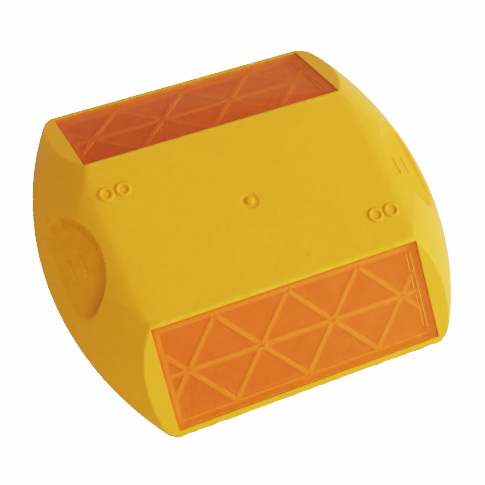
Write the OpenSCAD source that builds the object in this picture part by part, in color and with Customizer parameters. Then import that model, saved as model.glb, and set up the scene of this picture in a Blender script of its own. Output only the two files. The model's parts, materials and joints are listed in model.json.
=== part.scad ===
// Two-way raised pavement marker: a moulded casing with a reflex lens on each sloping end, filled
// with resin.  Millimetres, +Z up.  The origin is the middle of the base.  X runs across the lane
// and Y runs with the traffic, so the front lens faces -Y and the rear lens faces +Y.

/* [Casing] */
// Width across the two curved flanks
body_w = 101.6; // [99:0.1:105]
// Length from the front edge to the rear edge
body_l = 88.9; // [86:0.1:92]
// Height of the flat deck
body_h = 14.5; // [13.8:0.1:15.5]
// Straight part of the front and rear edges
edge_w = 71.8; // [70.5:0.1:73]
// Upright lip along the front and rear edges
edge_h = 0.8; // [0.7:0.05:1]
// Length of the deck between the two sloping ends
deck_l = 43.4; // [42:0.1:45]
// Width of the flat part of the deck
deck_w = 69.6; // [69.2:0.1:71]
// Thickness of the deck and of the flanks
wall = 3; // [2.4:0.1:3.4]

/* [Flanks] */
// Height of the upright foot below each flank
foot_h = 2.3; // [1.8:0.1:2.8]
// How far the flank leans in between its foot and the deck
flank_lean = 12.9; // [12:0.1:13.4]
// Radius of the flank's convex profile
flank_r = 27; // [24:0.5:32]
// Radius that rounds the flank into the deck at mid-length
crown_r = 27; // [25:0.5:30]
// Slope of that rounding where it leaves the deck, in degrees
crown_slope = 12; // [8:1:16]

/* [Finger grips] */
// Radius of a grip's half-round floor
grip_r = 10; // [9:0.2:10.8]
// Radius of the cove that rises from the floor to the flank
grip_cove = 5.6; // [3.4:0.2:6.2]
// Distance of the floor's outer edge from the casing's widest point
grip_back = 2.7; // [2.2:0.1:3.2]
// Height at which the tilted floor would meet that edge
grip_z = 5.5; // [5.2:0.1:6.4]
// Outward tilt of the floor, in degrees
grip_tilt = 25; // [20:1:29]
// Height of the level ledge along a grip's outer edge
grip_ledge = 6; // [5.6:0.1:6.6]

/* [Reflectors] */
// Width of a lens
lens_w = 68.4; // [64:0.1:68.6]
// Gap between the deck's edge and the lens, along the slope
lens_top = 0.9; // [0.8:0.1:1.4]
// Gap between the lens and the casing's bottom edge, along the slope
lens_foot = 1.4; // [1.2:0.1:2]
// Thickness of a lens
lens_t = 1.5; // [1.2:0.1:1.8]
// How far a lens lies below the face of the casing
lens_sunk = 0.25; // [0.1:0.05:0.4]
// Clear gap round a lens
seat_gap = 0.15; // [0.1:0.05:0.25]
// Width of the plain weld rim round the prism cells
rim_w = 1.7; // [1.4:0.1:2.2]
// Distance between neighbouring rib crossings
cell_pitch = 18.7; // [17:0.1:20]
// Width of a weld rib
rib_w = 1.2; // [0.8:0.1:1.6]
// Depth of the ribs and of the prism cells between them
cell_t = 0.6; // [0.4:0.1:0.7]
// Thickness of a lens's back plate
back_t = 0.6; // [0.4:0.1:0.8]

/* [Filling] */
// Thickness of the grit bed at the base
grit_t = 0.8; // [0.6:0.1:1.2]
// Thickness of the glass-fibre mat
mat_t = 0.5; // [0.3:0.1:0.8]

/* [Moulded marks] */
// Height of the raised marks
mark_h = 0.35; // [0.15:0.05:0.45]
// Outer radius of a ring mark on the deck
mark_r = 1.9; // [1.6:0.1:2.1]
// Width of the raised line of a mark
mark_line = 0.8; // [0.5:0.1:1]
// Radius of the shallow dish round the moulding gate
dish_r = 2.3; // [1.8:0.1:3]
// Radius of the pip left by the gate
pip_r = 0.9; // [0.6:0.1:1.2]

/* [Hidden] */
$fn = 96;

// Solids that cut through a face run past it by this much
over = 1;
// Thickness of casing left behind a lens seat, and between a grip and the filling
seat_wall = 1.6;
grip_wall = 2.4;
// Height of the casing's ledge under the bottom edge of a lens
ledge_h = 0.6;
// The back plate is smaller than its lens by this much on every side
back_in = 0.6;
// Depth of the dish and height of the pip in it
dish_d = 0.2;
pip_h = 0.35;
// Place of the ring marks on the deck, and the distance between the two rings of a pair
mark_x = 29.9;
mark_y = 13;
mark_step = 4.3;
// Length of the bars in a grip and the distance between them
bar_l = 5.4;
bar_step = 3;
bar_h = 0.2;

// Curved edge of the plan: the arc through the ends of a straight edge and the widest point
plan_bulge = (body_w - edge_w) / 2;
plan_r = (pow(body_l / 2, 2) + pow(plan_bulge, 2)) / (2 * plan_bulge);
plan_x = plan_r - body_w / 2;

// Sloping end: its angle, its length and the run of its face per unit of height
end_run = (body_l - deck_l) / 2;
end_rise = body_h - edge_h;
end_angle = atan(end_rise / end_run);
end_len = norm([end_run, end_rise]);

// Centre of the circle of radius r through p and q, on the lower side of the line between them
function centre_below(p, q, r) =
    let (d = q - p, half = norm(d) / 2)
    (p + q) / 2 + [d[1], -d[0]] / norm(d) * sqrt(r * r - half * half);

flank_c = centre_below([0, foot_h], [flank_lean, body_h], flank_r);
crown_c = [deck_w / 2 - crown_r * sin(crown_slope), body_h - crown_r * cos(crown_slope)];
grip_x = body_w / 2 - grip_back;

// Depths below the sloping face
lens_low = lens_sunk + lens_t;
cell_low = lens_low + cell_t;
back_low = cell_low + back_t;

// Window of the prism cells, measured down the slope from the deck's edge
window_w = lens_w - 2 * rim_w;
window_top = lens_top + rim_w;
window_foot = end_len - lens_foot - rim_w;
row_h = (window_foot - window_top) / 2;
rib_angle = atan(row_h / (cell_pitch / 2));

// ---- the casing's form -------------------------------------------------------------------

// Disc whose rim is one curved flank, with its axis on the far side of the casing
module flank_disc(skin) {
    rotate_extrude() intersection() {
        translate([0, -over]) square([plan_r - skin, body_h + over]);
        union() {
            translate([0, -over]) square([plan_r - flank_c[0], body_h + over]);
            translate([plan_r - flank_c[0], flank_c[1]]) circle(flank_r - skin);
        }
    }
}

// Bar along Y whose section rounds the flanks into the deck
module crown_bar(skin) {
    rotate([90, 0, 0]) linear_extrude(body_l + 2 * over, center = true) intersection() {
        translate([-body_w, -over]) square([2 * body_w, body_h - skin + over]);
        union() {
            translate([-crown_c[0], -over]) square([2 * crown_c[0], body_h + over]);
            for (side = [-1, 1]) translate([side * crown_c[0], crown_c[1]]) circle(crown_r - skin);
        }
    }
}

// Half the length of the form at height z, with its ends set in by end_skin
function end_y(z, end_skin) =
    deck_l / 2 + (body_h - z) / tan(end_angle) - end_skin / sin(end_angle);

// Bar along X with the sloping ends
module end_bar(end_skin, low_z) {
    rotate([90, 0, 90]) linear_extrude(body_w + 2 * over, center = true) polygon([
        [-end_y(low_z, end_skin), low_z],
        [end_y(low_z, end_skin), low_z],
        [end_y(body_h, end_skin), body_h],
        [-end_y(body_h, end_skin), body_h]
    ]);
}

// The casing's form, set in by skin at the deck and flanks and by end_skin at the sloping ends
module form(skin, end_skin, low_z) {
    intersection() {
        translate([-plan_x, 0, 0]) flank_disc(skin);
        translate([plan_x, 0, 0]) flank_disc(skin);
        crown_bar(skin);
        end_bar(end_skin, low_z);
        translate([-body_w, -body_l / 2, low_z]) cube([2 * body_w, body_l, body_h + over]);
    }
}

// Places its children on a grip's floor: the middle of the outer edge, +Z out of the floor
module at_grip(side) {
    translate([side * grip_x, 0, grip_z]) rotate([0, side * grip_tilt, 0]) children();
}

// Half-round space of both finger grips, grown by grow: a flat floor with a cove round it, cut off
// level along the outer edge
module grip_space(grow) {
    cove = grip_cove + grow;
    for (side = [-1, 1]) intersection() {
        at_grip(side) translate([0, 0, -grow]) rotate_extrude() union() {
            square([grip_r, body_h]);
            intersection() {
                translate([grip_r, cove]) circle(cove);
                square([grip_r + cove, body_h]);
            }
            translate([0, cove]) square([grip_r + cove, body_h - cove]);
        }
        translate([-body_w, -body_l, grip_ledge - grow]) cube([2 * body_w, 2 * body_l, 2 * body_h]);
    }
}

// Space inside the casing
module cavity(low_z) {
    difference() {
        form(wall, back_low + seat_wall, low_z);
        grip_space(grip_wall);
    }
}

// ---- places on the sloping ends ----------------------------------------------------------

// Puts its children on the front end: origin on the deck's edge, +Y up the slope, +Z out of it
module on_front() {
    translate([0, -deck_l / 2, body_h]) rotate([end_angle, 0, 0]) children();
}

// The same on either end, for pieces that the casing's ledge cuts off level
module on_end(side) {
    intersection() {
        if (side > 0) mirror([0, 1, 0]) on_front() children();
        else on_front() children();
        translate([-body_w, -body_l, ledge_h]) cube([2 * body_w, 2 * body_l, 2 * body_h]);
    }
}

// Flat outline on the slope, w wide, from top to foot down the slope
module slope_field(w, top, foot) {
    translate([-w / 2, -foot]) square([w, foot - top]);
}

module window() {
    slope_field(window_w, window_top, window_foot);
}

module back_outline() {
    slope_field(lens_w - 2 * back_in, lens_top + back_in, end_len - lens_foot - back_in);
}

// Triangular lattice: one rib along the middle and two slanting ribs through each crossing
module lattice(w) {
    mid = (window_top + window_foot) / 2;
    slant = 2 * norm([cell_pitch / 2, row_h]);
    intersection() {
        window();
        translate([0, -mid]) union() {
            square([window_w, w], center = true);
            for (step = [-1.5:1:1.5]) for (turn = [-rib_angle, rib_angle])
                translate([step * cell_pitch, 0]) rotate(turn) square([slant + w, w], center = true);
        }
    }
}

// ---- moulded marks -----------------------------------------------------------------------

module ring_mark() {
    difference() {
        cylinder(h = mark_h + over, r = mark_r);
        translate([0, 0, -over]) cylinder(h = mark_h + 3 * over, r = mark_r - mark_line);
    }
}

// A pair of rings beside each end of the deck
module deck_marks() {
    for (side = [-1, 1]) for (step = [-0.5, 0.5])
        translate([-side * (mark_x + step * mark_step), side * mark_y, body_h - over]) ring_mark();
}

// Two parallel bars on the floor of each grip
module grip_marks() {
    for (side = [-1, 1]) at_grip(side) for (step = [-0.5, 0.5])
        translate([-side * (grip_r / 2 + step * bar_step), 0, 0])
            cube([mark_line, bar_l, 2 * bar_h], center = true);
}

module gate_dish() {
    translate([0, 0, body_h - dish_d]) cylinder(h = dish_d + over, r = dish_r);
}

module gate_pip() {
    translate([0, 0, body_h - over]) cylinder(h = over - dish_d + pip_h, r = pip_r);
}

// ---- nodes -------------------------------------------------------------------------------

module body_shell() {
    color("gold") union() {
        difference() {
            form(0, 0, 0);
            cavity(-over);
            grip_space(0);
            gate_dish();
            for (side = [-1, 1]) on_end(side) {
                translate([0, 0, -lens_low]) linear_extrude(lens_low + over) slope_field(
                    lens_w + 2 * seat_gap, lens_top - seat_gap, end_len - lens_foot + seat_gap
                );
                translate([0, 0, -back_low]) linear_extrude(back_low) back_outline();
            }
        }
        gate_pip();
        deck_marks();
        grip_marks();
    }
}

module lens(side) {
    color("darkorange") on_end(side) translate([0, 0, -lens_low]) linear_extrude(lens_t)
        slope_field(lens_w, lens_top, end_len - lens_foot);
}

module prism_panels(side) {
    color("orangered") on_end(side) translate([0, 0, -cell_low]) linear_extrude(cell_t)
        difference() {
            window();
            lattice(rib_w);
        }
}

module lens_back(side) {
    color("orange") on_end(side) union() {
        translate([0, 0, -back_low]) linear_extrude(back_t) back_outline();
        translate([0, 0, -cell_low]) linear_extrude(cell_t) union() {
            difference() {
                back_outline();
                window();
            }
            lattice(rib_w);
        }
    }
}

// Layer of the filling between two heights
module filling(low_z, high_z) {
    intersection() {
        cavity(0);
        translate([-body_w, -body_l, low_z]) cube([2 * body_w, 2 * body_l, high_z - low_z]);
    }
}

module front_lens() {
    lens(-1);
}

module rear_lens() {
    lens(1);
}

module front_prism_panels() {
    prism_panels(-1);
}

module rear_prism_panels() {
    prism_panels(1);
}

module front_lens_back() {
    lens_back(-1);
}

module rear_lens_back() {
    lens_back(1);
}

module potting_core() {
    color("dimgray") filling(grit_t + mat_t, body_h);
}

module glass_mat() {
    color("whitesmoke") filling(grit_t, grit_t + mat_t);
}

module base_grit() {
    color("darkgray") filling(0, grit_t);
}

body_shell();
front_lens();
rear_lens();
front_prism_panels();
rear_prism_panels();
front_lens_back();
rear_lens_back();
potting_core();
glass_mat();
base_grit();
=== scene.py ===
"""Looks of a two-way raised pavement marker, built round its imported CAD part.

The marker is a moulded yellow casing with a reflex lens on each sloping end, a finger grip in each
flank and a resin filling with a grit bed underneath.  Sizes in the classes are millimetres; meshes
are written in metres.  +Z is up, X runs across the lane and the front lens faces -Y.
"""

from __future__ import annotations

import json
import logging
import math
import re
from dataclasses import dataclass, field
from enum import Enum
from typing import Any, Callable, Iterable, Sequence

import bmesh
import bpy
import numpy as np
from mathutils import Matrix, Vector, noise

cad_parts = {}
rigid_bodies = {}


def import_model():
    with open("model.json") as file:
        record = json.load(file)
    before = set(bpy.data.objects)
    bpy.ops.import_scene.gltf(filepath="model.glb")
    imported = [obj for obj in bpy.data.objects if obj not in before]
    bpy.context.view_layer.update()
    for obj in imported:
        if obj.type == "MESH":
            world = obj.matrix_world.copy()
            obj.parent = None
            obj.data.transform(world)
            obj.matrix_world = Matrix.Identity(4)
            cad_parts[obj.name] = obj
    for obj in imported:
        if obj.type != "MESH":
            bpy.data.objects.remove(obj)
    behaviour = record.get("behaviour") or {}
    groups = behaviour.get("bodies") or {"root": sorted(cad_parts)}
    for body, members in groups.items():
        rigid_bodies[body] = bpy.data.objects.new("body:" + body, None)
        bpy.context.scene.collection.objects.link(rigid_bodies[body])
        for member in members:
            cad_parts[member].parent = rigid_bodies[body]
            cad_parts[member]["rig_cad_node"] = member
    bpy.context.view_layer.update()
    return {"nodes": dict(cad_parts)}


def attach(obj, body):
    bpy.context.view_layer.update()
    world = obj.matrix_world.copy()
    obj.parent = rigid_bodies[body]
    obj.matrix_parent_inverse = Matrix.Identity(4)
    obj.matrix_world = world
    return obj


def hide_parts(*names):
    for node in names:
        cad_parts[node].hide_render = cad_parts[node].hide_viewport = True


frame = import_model()

LOG = logging.getLogger("marker")
MM = 0.001
Triple = tuple[float, float, float]
Colour = Triple
Surface = Callable[[np.ndarray, np.ndarray], np.ndarray]


class End(Enum):
    """The two sloping ends of the marker; the value is the sign of Y."""

    FRONT = -1
    REAR = 1

    @property
    def word(self) -> str:
        """The end's name as the pieces use it."""
        return self.name.lower()


# ---- Mesh tools ----


class MeshBench:
    """Collects patches in millimetres and welds them into one mesh."""

    def __init__(self) -> None:
        """Starts with nothing on the bench."""
        self.points: list[np.ndarray] = []
        self.faces: list[Sequence[int]] = []
        self.tones: list[np.ndarray] = []
        self.count = 0

    def add(self, points: np.ndarray, faces: Iterable[Sequence[int]], tone: Any = 0.0) -> int:
        """Adds a patch.

        Args:
            points: Its vertices, one row each.
            faces: Its faces, as indices into points.
            tone: Worn edges with painted highlight, then painted shade, from 0 to 1, of the whole patch or
                of each vertex.

        Returns:
            The index of the patch's first vertex on the bench.
        """
        first = self.count
        self.points.append(points)
        self.tones.append(np.broadcast_to(tone, (len(points), 2)))
        self.faces.extend(tuple(first + i for i in face) for face in faces)
        self.count += len(points)
        return first

    def sheet(self, points: np.ndarray, tone: Any = 0.0, flip: bool = False) -> int:
        """Adds a grid of vertices as quads.

        Args:
            points: Vertices by row and column.
            tone: Worn edges with painted highlight, then painted shade, of the whole grid or by row and
                column.
            flip: Turns the faces over.

        Returns:
            The index of the first vertex on the bench.
        """
        rows, cols = points.shape[:2]
        at = np.arange(rows * cols).reshape(rows, cols)
        quads = np.stack([at[:-1, :-1], at[:-1, 1:], at[1:, 1:], at[1:, :-1]], -1).reshape(-1, 4)
        tones = np.broadcast_to(tone, (rows, cols, 2)).reshape(-1, 2)
        return self.add(points.reshape(-1, 3), (quads[:, ::-1] if flip else quads).tolist(), tones)

    def stack(self, loops: Sequence[np.ndarray], tone: Any = 0.0) -> None:
        """Adds a closed solid.

        Args:
            loops: Outlines of equal length, counter-clockwise, from the lower cap to the upper.
            tone: Worn edges with painted highlight, then painted shade, of the whole solid.
        """
        size, last = len(loops[0]), (len(loops) - 1) * len(loops[0])
        faces: list[Sequence[int]] = [range(size - 1, -1, -1), range(last, last + size)]
        for low in range(0, last, size):
            for i in range(size):
                here, there = low + i, low + (i + 1) % size
                faces.append((here, there, there + size, here + size))
        self.add(np.concatenate(loops), faces, tone)

    def lathe(self, profile: Sequence[tuple[float, float]], place: Matrix, turns: int = 56) -> None:
        """Adds a closed ring: a section turned about the Z axis of a place.

        Args:
            profile: Radius and height round the section, counter-clockwise seen along the turn.
            place: Where the axis stands.
            turns: Number of sections round the axis.
        """
        angles = np.linspace(0, 2 * math.pi, turns, endpoint=False)
        radius, high = np.array([*profile, profile[0]]).T
        across, along = np.outer(np.cos(angles), radius), np.outer(np.sin(angles), radius)
        ring = np.stack([across, along, np.tile(high, (turns, 1))], -1)
        self.sheet(moved(np.concatenate([ring, ring[:1]]), place))

    def stitch(self, outer: Sequence[int], inner: Sequence[int]) -> None:
        """Joins two runs of vertices with a strip of triangles.

        Args:
            outer: Indices along one side of the strip.
            inner: Indices along the other side, in the same direction.
        """
        i = j = 0
        while i < len(outer) - 1 or j < len(inner) - 1:
            ahead = (i + 1) / (len(outer) - 1) <= (j + 1) / (len(inner) - 1)
            if j == len(inner) - 1 or (ahead and i < len(outer) - 1):
                self.faces.append((outer[i], outer[i + 1], inner[j]))
                i += 1
            else:
                self.faces.append((outer[i], inner[j + 1], inner[j]))
                j += 1

    def build(self, name: str, smooth_below: float) -> bpy.types.Object:
        """Welds the patches into a mesh object at the origin.

        Args:
            name: Name of the piece.
            smooth_below: Edges that turn by less than this many degrees are shaded smooth.

        Returns:
            The new object, linked to the scene.
        """
        points, tones = np.concatenate(self.points), np.concatenate(self.tones)
        rounded = np.round(points, 4)
        _, first, back = np.unique(rounded, axis=0, return_index=True, return_inverse=True)
        back = back.reshape(-1)
        faces = []
        for face in self.faces:
            ring = [int(back[i]) for i in face]
            ring = [v for k, v in enumerate(ring) if v != ring[k - 1]]
            if len(set(ring)) == len(ring) >= 3:
                faces.append(ring)
        mesh = bpy.data.meshes.new(name)
        mesh.from_pydata((points[first] * MM).tolist(), [], faces)
        mesh.validate()
        for column, word in enumerate(("wear", "grime")):
            layer = mesh.attributes.new(word, "FLOAT", "POINT")
            layer.data.foreach_set("value", tones[first, column].astype(np.float32))
        small = [len(face.vertices) <= 4 for face in mesh.polygons]
        mesh.polygons.foreach_set("use_smooth", small)
        mesh.set_sharp_from_angle(angle=math.radians(smooth_below))
        return linked(name, mesh)


def linked(name: str, data: bpy.types.ID) -> bpy.types.Object:
    """Makes an object of that data, links it to the scene and returns it."""
    obj = bpy.data.objects.new(name, data)
    bpy.context.scene.collection.objects.link(obj)
    return obj


def moved(points: np.ndarray, place: Matrix) -> np.ndarray:
    """Points carried to a place."""
    m = np.array(place)
    return points @ m[:3, :3].T + m[:3, 3]


def soft_min(a: np.ndarray, b: np.ndarray, band: np.ndarray | float) -> np.ndarray:
    """The lower of two heights, rounded where they come within band of each other."""
    near = np.maximum(band - np.abs(a - b), 0.0)
    return np.minimum(a, b) - near * near / (4 * np.maximum(band, 1e-6))


def smooth_step(low: float, high: float, value: np.ndarray) -> np.ndarray:
    """0 below low, 1 above high, and a smooth rise between them."""
    t = np.clip((value - low) / (high - low), 0, 1)
    return t * t * (3 - 2 * t)


def waves(x: np.ndarray, y: np.ndarray, size: float, seed: float) -> np.ndarray:
    """Smooth noise from -1 to 1 whose features are about size millimetres wide."""
    spots = zip(x.ravel() / size, y.ravel() / size)
    return np.array([noise.noise(Vector((a, b, seed))) for a, b in spots]).reshape(x.shape)


def steps(*runs: tuple[float, float, float]) -> np.ndarray:
    """Numbers that rise through runs of (from, to, spacing), without repeats."""
    parts = [np.linspace(a, b, max(2, round((b - a) / gap) + 1)) for a, b, gap in runs]
    return np.unique(np.round(np.concatenate(parts), 5))


def climb(a: Surface, b: Surface, x: np.ndarray, y: np.ndarray) -> tuple[np.ndarray, np.ndarray]:
    """How steeply surface b rises over surface a along X and along Y."""
    step = 0.04

    def gap(dx: float, dy: float) -> np.ndarray:
        """Height of b over a beside each point."""
        return b(x + dx, y + dy) - a(x + dx, y + dy)

    return (gap(step, 0) - gap(-step, 0)) / (2 * step), (gap(0, step) - gap(0, -step)) / (2 * step)


def rounded_box(
    half_w: float, low: float, high: float, radius: float, turns: int = 6
) -> np.ndarray:
    """Outline of a rectangle with round corners, counter-clockwise, in a flat frame.

    Args:
        half_w: Half its width along the first axis.
        low: Its lower side on the second axis.
        high: Its upper side on the second axis.
        radius: Radius of the corners.
        turns: Number of steps round a corner.

    Returns:
        Two columns, one row for each corner point.
    """
    side, top, foot = half_w - radius, high - radius, low + radius
    out = []
    for corner, (cx, cy) in enumerate([(side, top), (-side, top), (-side, foot), (side, foot)]):
        for k in range(turns + 1):
            angle = (corner + k / turns) * math.pi / 2
            out.append((cx + radius * math.cos(angle), cy + radius * math.sin(angle)))
    return np.array(out)


def clipped(outline: list[np.ndarray], normal: np.ndarray, limit: float) -> list[np.ndarray]:
    """The part of a convex outline where normal . point is at most limit."""
    out: list[np.ndarray] = []
    for here, there in zip(outline, outline[1:] + outline[:1]):
        a, b = float(normal @ here) - limit, float(normal @ there) - limit
        if a <= 0:
            out.append(here)
        if a * b < 0:
            out.append(here + (there - here) * (a / (a - b)))
    return out


def rims(grid: np.ndarray) -> list[np.ndarray]:
    """The four sides of a grid in order: front, right, rear and left."""
    return [grid[0], grid[:, -1], grid[-1, ::-1], grid[::-1, 0]]


# ---- Node trees ----


class Wiring:
    """A node tree while it is being wired."""

    def __init__(self, tree: bpy.types.NodeTree) -> None:
        """Starts on an empty tree."""
        self.tree = tree
        self.tree.nodes.clear()

    def node(self, kind: str, inputs: dict[Any, Any] | None = None, **settings: Any) -> Any:
        """Adds a node.

        Args:
            kind: Blender's name of the node type.
            inputs: Values or sockets for its inputs, by name or number.
            settings: Values for its own properties.

        Returns:
            The new node.
        """
        made = self.tree.nodes.new(kind)
        for key, value in settings.items():
            setattr(made, key, value)
        for key, value in (inputs or {}).items():
            socket = made.inputs[key]
            if isinstance(value, bpy.types.NodeSocket):
                self.tree.links.new(value, socket)
            elif isinstance(value, tuple) and len(value) == 3 and socket.type == "RGBA":
                socket.default_value = (*value, 1.0)
            else:
                socket.default_value = value
        return made

    def math(self, operation: str, *values: Any) -> Any:
        """The result of a sum, product or other operation on the values."""
        return self.node("ShaderNodeMath", dict(enumerate(values)), operation=operation).outputs[0]

    def ray(self, kind: str) -> Any:
        """1 for light paths of that kind, such as camera or shadow, and 0 for others."""
        return self.node("ShaderNodeLightPath").outputs[f"Is {kind} Ray"]

    def mixed(self, share: Any, a: Any, b: Any) -> Any:
        """Shader a where share is 0 and shader b where it is 1."""
        return self.node("ShaderNodeMixShader", {0: share, 1: a, 2: b}).outputs[0]


class Shade(Wiring):
    """A material's node tree while it is being wired."""

    def __init__(self, name: str) -> None:
        """Starts a material."""
        self.material = bpy.data.materials.new(name)
        self.material.use_nodes = True
        super().__init__(self.material.node_tree)
        self.place = self.node("ShaderNodeTexCoord").outputs["Object"]

    def cloud(self, scale: float, detail: float = 3.0, rough: float = 0.5, at: Any = None) -> Any:
        """Noise from 0 to 1 with scale features a metre."""
        inputs = {"Vector": at or self.place, "Scale": scale, "Detail": detail, "Roughness": rough}
        return self.node("ShaderNodeTexNoise", inputs).outputs["Fac"]

    def patches(
        self, scale: float, low: float, high: float, detail: float = 3.0, rough: float = 0.5
    ) -> Any:
        """Noise whose range low to high is spread over 0 to 1."""
        return self.remap(self.cloud(scale, detail, rough), low, high)

    def streaks(self, scale: Triple, turn: float, low: float, high: float, rough: float) -> Any:
        """Noise like patches, stretched by scale after a turn about Z in degrees."""
        inputs = {"Vector": self.place, "Scale": scale, "Rotation": (0.0, 0.0, math.radians(turn))}
        at = self.node("ShaderNodeMapping", inputs).outputs["Vector"]
        return self.remap(self.cloud(1.0, 2, rough, at), low, high)

    def cells(self, scale: float, output: str = "Distance") -> Any:
        """A pattern of cells, with scale cells a metre."""
        return self.node("ShaderNodeTexVoronoi", {"Vector": self.place, "Scale": scale}).outputs[output]

    def remap(self, value: Any, low: float, high: float, to_low: float = 0.0, to_high: float = 1.0) -> Any:
        """A value whose range low to high is spread over to_low to to_high."""
        inputs = {0: value, 1: low, 2: high, 3: to_low, 4: to_high}
        return self.node("ShaderNodeMapRange", inputs).outputs["Result"]

    def blend(self, a: Any, b: Any, share: Any, most: float = 1.0) -> Any:
        """Colour a, and b in its place by up to most where share is 1."""
        if most < 1:
            share = self.math("MULTIPLY", share, most)
        return self.node("ShaderNodeMix", {0: share, 6: a, 7: b}, data_type="RGBA").outputs[2]

    def layer(self, word: str) -> Any:
        """The piece's own attribute of that name."""
        return self.node("ShaderNodeAttribute", attribute_name=word).outputs["Fac"]

    def bump(self, height: Any, depth: float, strength: float = 1.0, under: Any = None) -> Any:
        """A normal bent by a height pattern of that depth in millimetres."""
        inputs = {"Height": height, "Distance": depth * MM, "Strength": strength}
        if under is not None:
            inputs["Normal"] = under
        return self.node("ShaderNodeBump", inputs).outputs["Normal"]

    def principled(self, **inputs: Any) -> Any:
        """The main shader, with underscores in place of spaces in its inputs' names."""
        named = {key.replace("_", " "): value for key, value in inputs.items()}
        return self.node("ShaderNodeBsdfPrincipled", named).outputs[0]


class Growth(Wiring):
    """A geometry tree that stands a shape on points, while it is being wired."""

    def __init__(self, name: str, **sizes: str) -> None:
        """Starts a tree whose inputs are a geometry and the named sizes, with their kinds."""
        super().__init__(bpy.data.node_groups.new(name, "GeometryNodeTree"))
        face = self.tree.interface
        for word, kind in {"Geometry": "Geometry", **sizes}.items():
            face.new_socket(word, in_out="INPUT", socket_type=f"NodeSocket{kind}")
        face.new_socket("Geometry", in_out="OUTPUT", socket_type="NodeSocketGeometry")
        self.given = self.node("NodeGroupInput").outputs

    def vector(self, **parts: Any) -> Any:
        """A vector from its X, Y and Z."""
        return self.node("ShaderNodeCombineXYZ", parts).outputs[0]

    def planted(self, material: bpy.types.Material, **inputs: Any) -> bpy.types.NodeTree:
        """Ends the tree with real copies of the shape in their finish.

        Args:
            material: Finish of the copies.
            inputs: Points, Instance, Rotation and Scale of the copies.

        Returns:
            The node tree.
        """
        copies = self.node("GeometryNodeInstanceOnPoints", inputs).outputs["Instances"]
        real = self.node("GeometryNodeRealizeInstances", {"Geometry": copies}).outputs[0]
        paint = self.node("GeometryNodeSetMaterial", {"Geometry": real, "Material": material})
        self.node("NodeGroupOutput", {"Geometry": paint.outputs[0]})
        return self.tree


# ---- Finishes ----


@dataclass(frozen=True)
class Finish:
    """A finish, which names its material after its class."""

    def shader(self, s: Shade) -> Any:
        """Wires the finish up to its last shader."""
        raise NotImplementedError

    def material(self) -> bpy.types.Material:
        """Builds the material."""
        s = Shade("_".join(re.findall("[A-Z][a-z]+", type(self).__name__)).lower())
        s.node("ShaderNodeOutputMaterial", {"Surface": self.shader(s)})
        return s.material


@dataclass(frozen=True)
class CasingPlastic(Finish):
    """Satin yellow ABS with faint flow mottling, worn edges with painted highlight and painted shade in
    its hollows.
    """

    body: Colour = (0.80, 0.350, 0.042)
    warm: Colour = (0.75, 0.310, 0.044)
    pale: Colour = (0.88, 0.46, 0.055)
    dust: Colour = (0.52, 0.20, 0.034)
    speck: Colour = (0.10, 0.06, 0.02)
    sheen: Colour = (1.0, 0.78, 0.12)
    roughness: float = 0.37

    def shader(self, s: Shade) -> Any:
        """Wires the finish up to its last shader."""
        grain = s.patches(640, 0.3, 0.72, 4, 0.6)
        # Paler along the edges: partly worn plastic, partly a painted highlight.
        worn_and_lit = s.math("MULTIPLY", s.layer("wear"), s.patches(420, 0.35, 0.6))
        # Painted shade: darker in the grip walls, sunk corners, lens seats, dish and foot.
        shade_share = s.math("MULTIPLY", s.layer("grime"), s.patches(300, 0.3, 0.6, 4))
        dots = s.math("MULTIPLY", s.remap(s.cells(95), 0.035, 0.02), s.patches(70, 0.60, 0.64, 1))
        colour = s.blend(self.body, self.warm, s.patches(48, 0.36, 0.66, 3, 0.55), 0.42)
        colour = s.blend(colour, self.pale, grain, 0.20)
        colour = s.blend(colour, self.pale, worn_and_lit, 0.8)
        colour = s.blend(colour, self.dust, shade_share, 0.6)
        colour = s.blend(colour, self.speck, dots, 0.75)
        scratch = s.streaks((420.0, 9000.0, 2500.0), 24, 0.66, 0.74, 0.6)
        dull = s.math("MULTIPLY_ADD", grain, 0.14, self.roughness)
        normal = s.bump(s.cloud(150, 2), 0.050, 1.0, s.bump(s.cloud(2600, 2), 0.020))
        return s.principled(
            Base_Color=colour,
            Roughness=s.math("MULTIPLY_ADD", scratch, 0.10, dull),
            Normal=s.bump(scratch, -0.012, 1.0, normal),
            IOR=1.22,
            Specular_IOR_Level=0.6,
            Specular_Tint=self.sheen,
        )


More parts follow.
